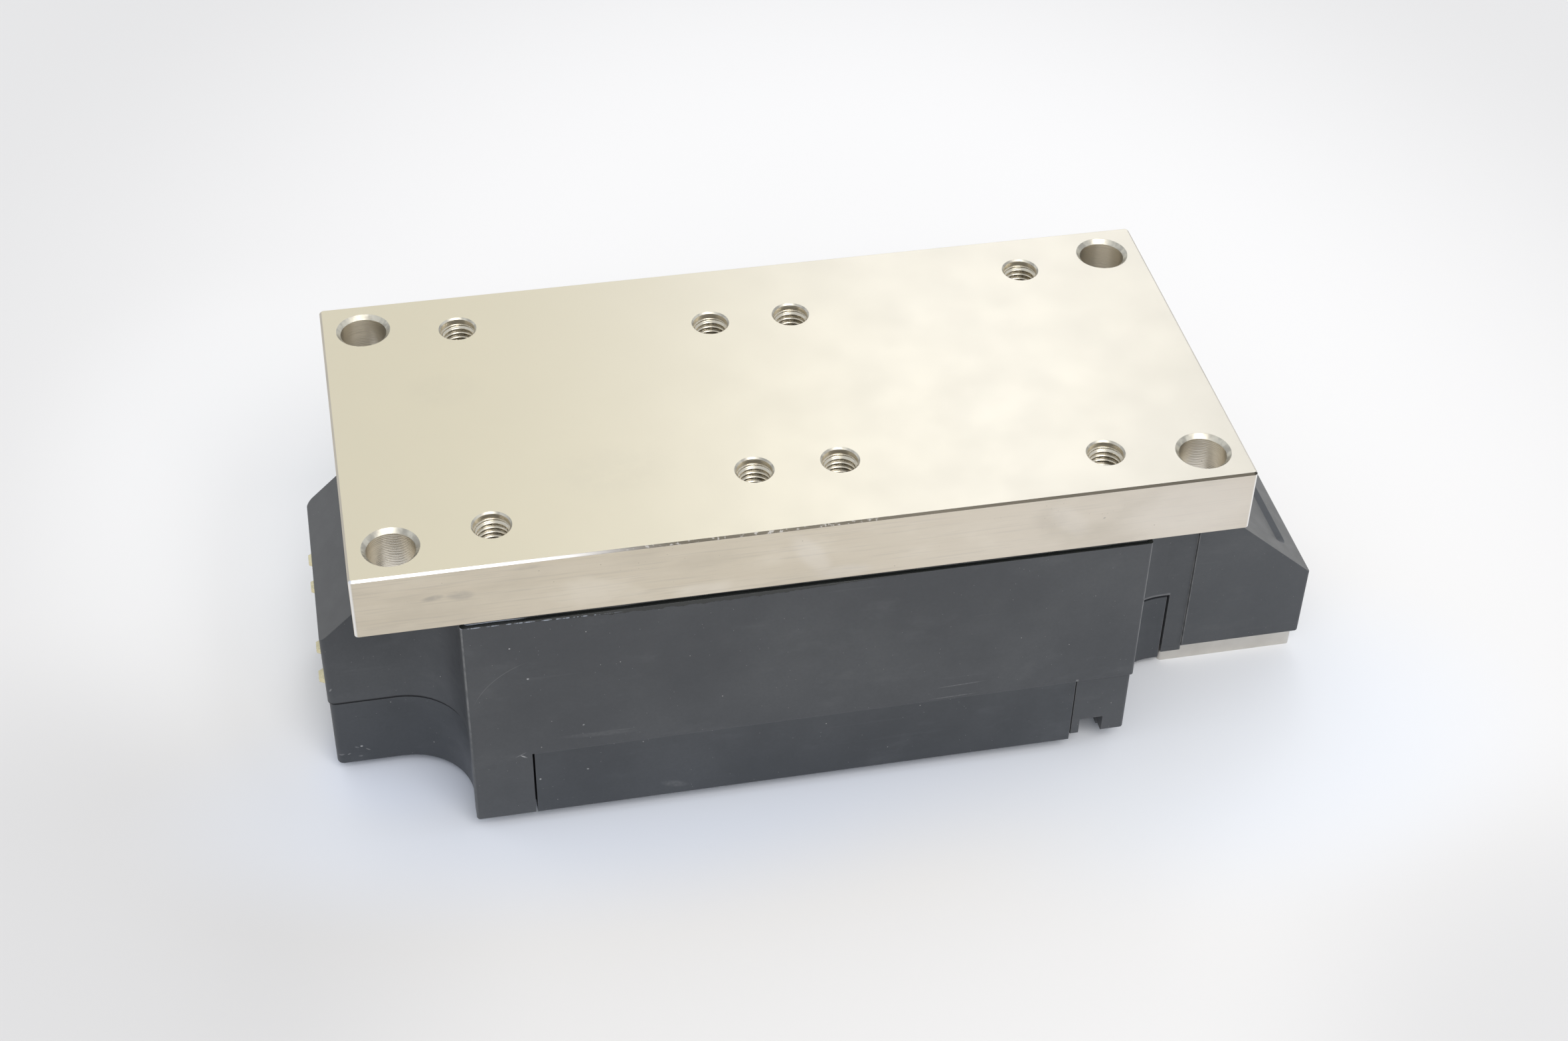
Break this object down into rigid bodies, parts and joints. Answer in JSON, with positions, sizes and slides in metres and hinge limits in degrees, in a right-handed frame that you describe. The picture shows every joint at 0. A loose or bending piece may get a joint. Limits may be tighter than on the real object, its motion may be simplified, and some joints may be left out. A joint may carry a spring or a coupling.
{
  "type": "power semiconductor module",
  "caption": "Flat plated base plate on a dark moulded housing with screw terminals and gate tabs, for switching heavy current on a heatsink.",
  "frame": {"origin": "centre of the mounting face of the base plate", "axes": "+Z out of the mounting face, +X along the module towards terminal 1, +Y across it"},
  "size_m": [0.1489, 0.06, 0.0506],
  "materials": {
    "nickel_plating": "satin nickel plating on copper, faint machining streaks on the sides",
    "terminal_plating": "satin nickel plating on copper",
    "seal": "glossy black adhesive",
    "housing_plastic": "moulded dark slate grey plastic, fine dust and light scratches",
    "lid_plastic": "moulded dark blue-grey plastic",
    "zinc_steel": "zinc-plated steel",
    "spring_steel": "phosphated spring steel",
    "screw_steel": "plated steel",
    "ceramic": "fired insulating ceramic",
    "insulation": "natural heat-resistant plastic",
    "cell_metal": "lapped contact faces with a dull rim",
    "tab_brass": "bright brass",
    "lead_jacket": "white insulated wire"
  },
  "bodies": {
    "root": {"base_plate": "nickel_plating", "base_seal": "seal", "housing": "housing_plastic", "lid": "lid_plastic", "terminal_bar_1": "terminal_plating", "terminal_bar_2": "terminal_plating", "terminal_bar_3": "terminal_plating", "terminal_nuts": "zinc_steel", "insulator_disc_a": "ceramic", "insulator_disc_b": "ceramic", "locating_ring_a": "insulation", "locating_ring_b": "insulation", "disc_cell_a": "cell_metal", "disc_cell_b": "cell_metal", "insulating_cap_a": "insulation", "insulating_cap_b": "insulation", "disc_springs_a": "spring_steel", "disc_springs_b": "spring_steel", "clamp_yoke_a": "zinc_steel", "clamp_yoke_b": "zinc_steel", "clamp_screws": "screw_steel", "bar_insulator": "insulation", "riser_divider": "insulation", "gate_tabs": "tab_brass", "gate_leads_a": "lead_jacket", "gate_leads_b": "lead_jacket"}
  },
  "joints": []
}
